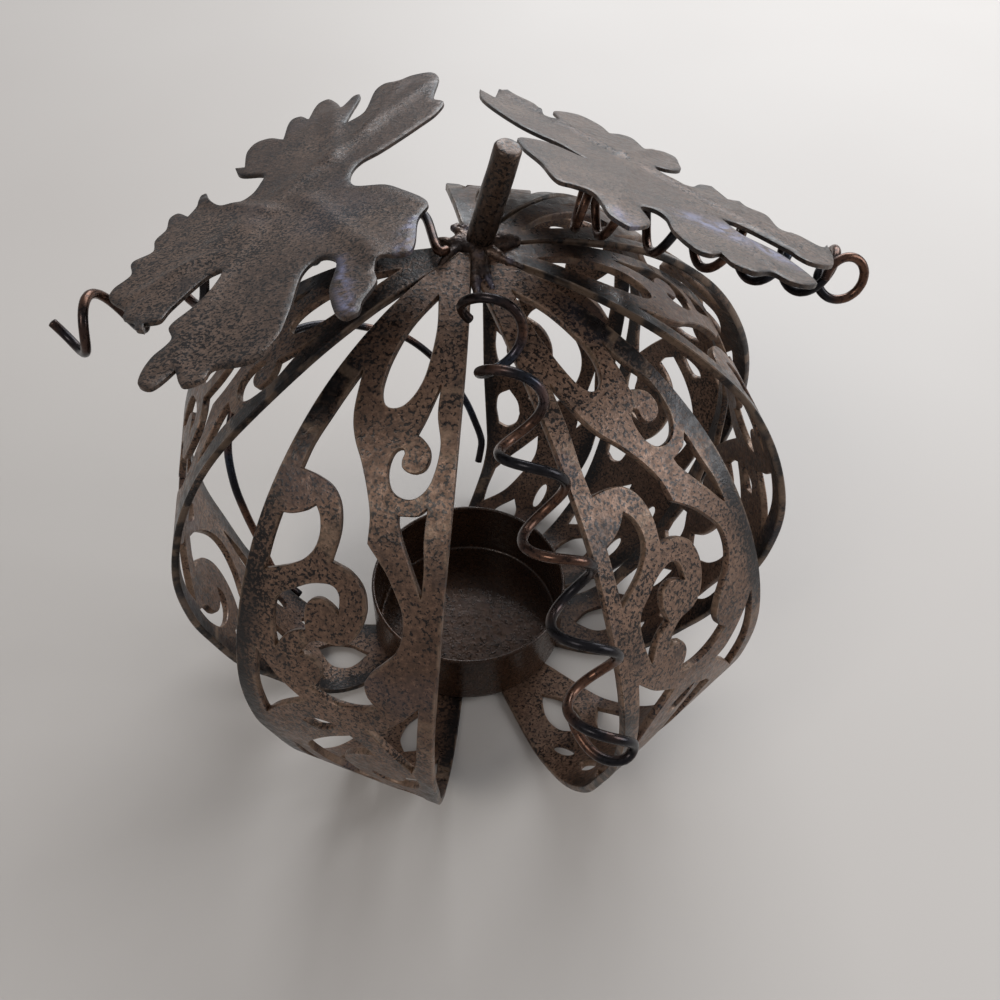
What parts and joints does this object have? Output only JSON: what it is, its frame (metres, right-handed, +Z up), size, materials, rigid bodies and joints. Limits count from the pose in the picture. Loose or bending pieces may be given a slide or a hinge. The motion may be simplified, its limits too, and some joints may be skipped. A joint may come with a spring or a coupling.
{
  "type": "tealight holder",
  "caption": "Pumpkin-shaped tealight holder of curved sheet gores pierced with scrollwork, with leaves, curled wire tendrils, a stem and a cup for the candle.",
  "frame": {"origin": "centre of the bounding box on the surface that the holder stands on", "axes": "+Z up along the pumpkin's upright axis, -Y towards the front with the wide gap between the front gores, +X to the right seen from the front"},
  "size_m": [0.1288, 0.1256, 0.1234],
  "materials": {
    "gore_paint": "semi-gloss brown paint with fine black speckles, black rubbed along the rims",
    "leaf_paint": "semi-gloss brown paint with dense black speckles and a bluish bloom in places",
    "wire_paint": "semi-gloss dark brown paint with copper highlights and blue-black shadows",
    "cup_paint": "semi-gloss dark brown speckled paint",
    "stem_paint": "dark speckled paint, bare and bluish at the top",
    "weld_steel": "welded steel with thin bluish paint"
  },
  "bodies": {
    "root": {"gore_front_left": "gore_paint", "gore_front_right": "gore_paint", "gore_right": "gore_paint", "gore_back_right": "gore_paint", "gore_back": "gore_paint", "gore_left": "gore_paint", "tealight_cup": "cup_paint", "hub_weld": "weld_steel", "stem": "stem_paint", "leaf_left": "leaf_paint", "leaf_right": "leaf_paint", "tendril_front": "wire_paint", "tendril_right": "wire_paint", "tendril_left": "wire_paint", "door_arch": "wire_paint"}
  },
  "joints": []
}
